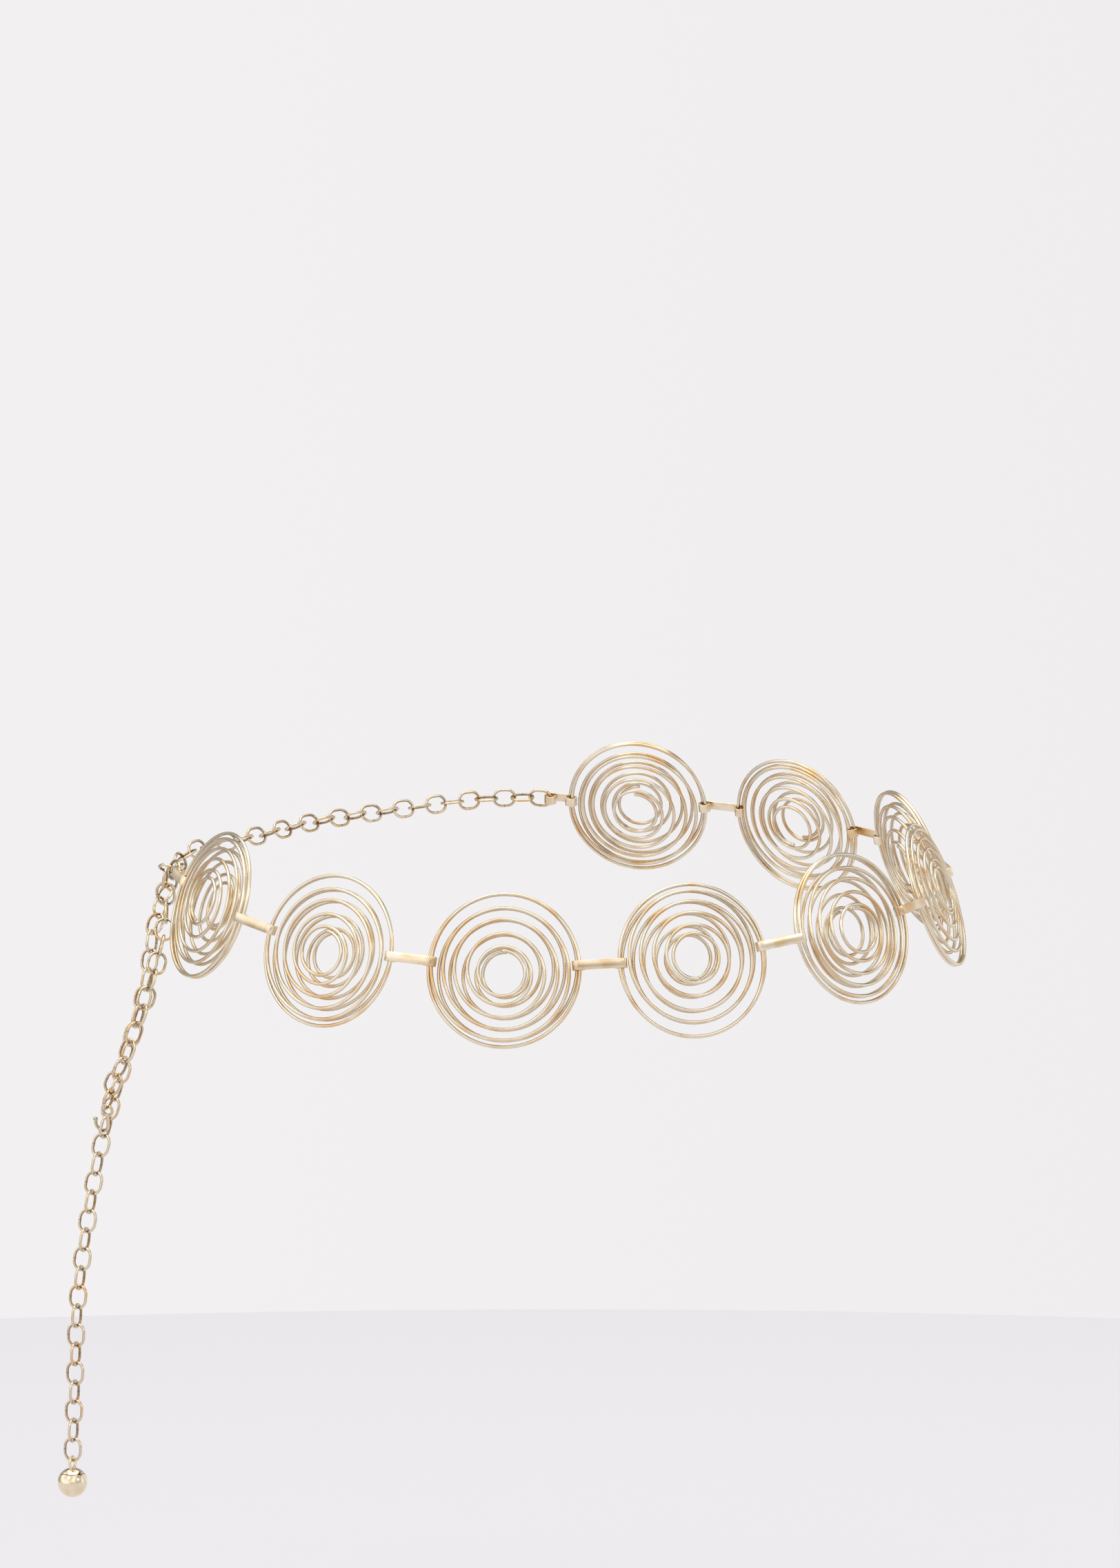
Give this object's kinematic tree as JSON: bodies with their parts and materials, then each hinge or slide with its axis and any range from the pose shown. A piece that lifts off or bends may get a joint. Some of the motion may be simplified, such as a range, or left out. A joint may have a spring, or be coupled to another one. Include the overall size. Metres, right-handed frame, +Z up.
{
  "type": "waist chain",
  "caption": "Waist chain: a loop of round wound-wire discs joined by strip links, closed by a hook on an oval-link chain whose free end carries a ball.",
  "frame": {"origin": "middle of the loop at hip height, where the chain sits on the hips", "axes": "+Z up the body, +X to the wearer's left, -Y to the front"},
  "size_m": [0.3052, 0.2292, 0.2525],
  "materials": {
    "disc_metal": "polished",
    "strip_metal": "polished",
    "chain_metal": "polished",
    "ball_metal": "polished"
  },
  "bodies": {
    "root": {"disc_1": "disc_metal", "disc_2": "disc_metal", "disc_3": "disc_metal", "disc_4": "disc_metal", "disc_5": "disc_metal", "disc_6": "disc_metal", "disc_7": "disc_metal", "disc_8": "disc_metal", "disc_9": "disc_metal", "strip_1": "strip_metal", "strip_2": "strip_metal", "strip_3": "strip_metal", "strip_4": "strip_metal", "strip_5": "strip_metal", "strip_6": "strip_metal", "strip_7": "strip_metal", "strip_8": "strip_metal", "end_strip_short": "strip_metal", "end_strip_long": "strip_metal", "short_chain": "chain_metal", "long_chain": "chain_metal", "hook": "chain_metal", "ball": "ball_metal"}
  },
  "joints": []
}
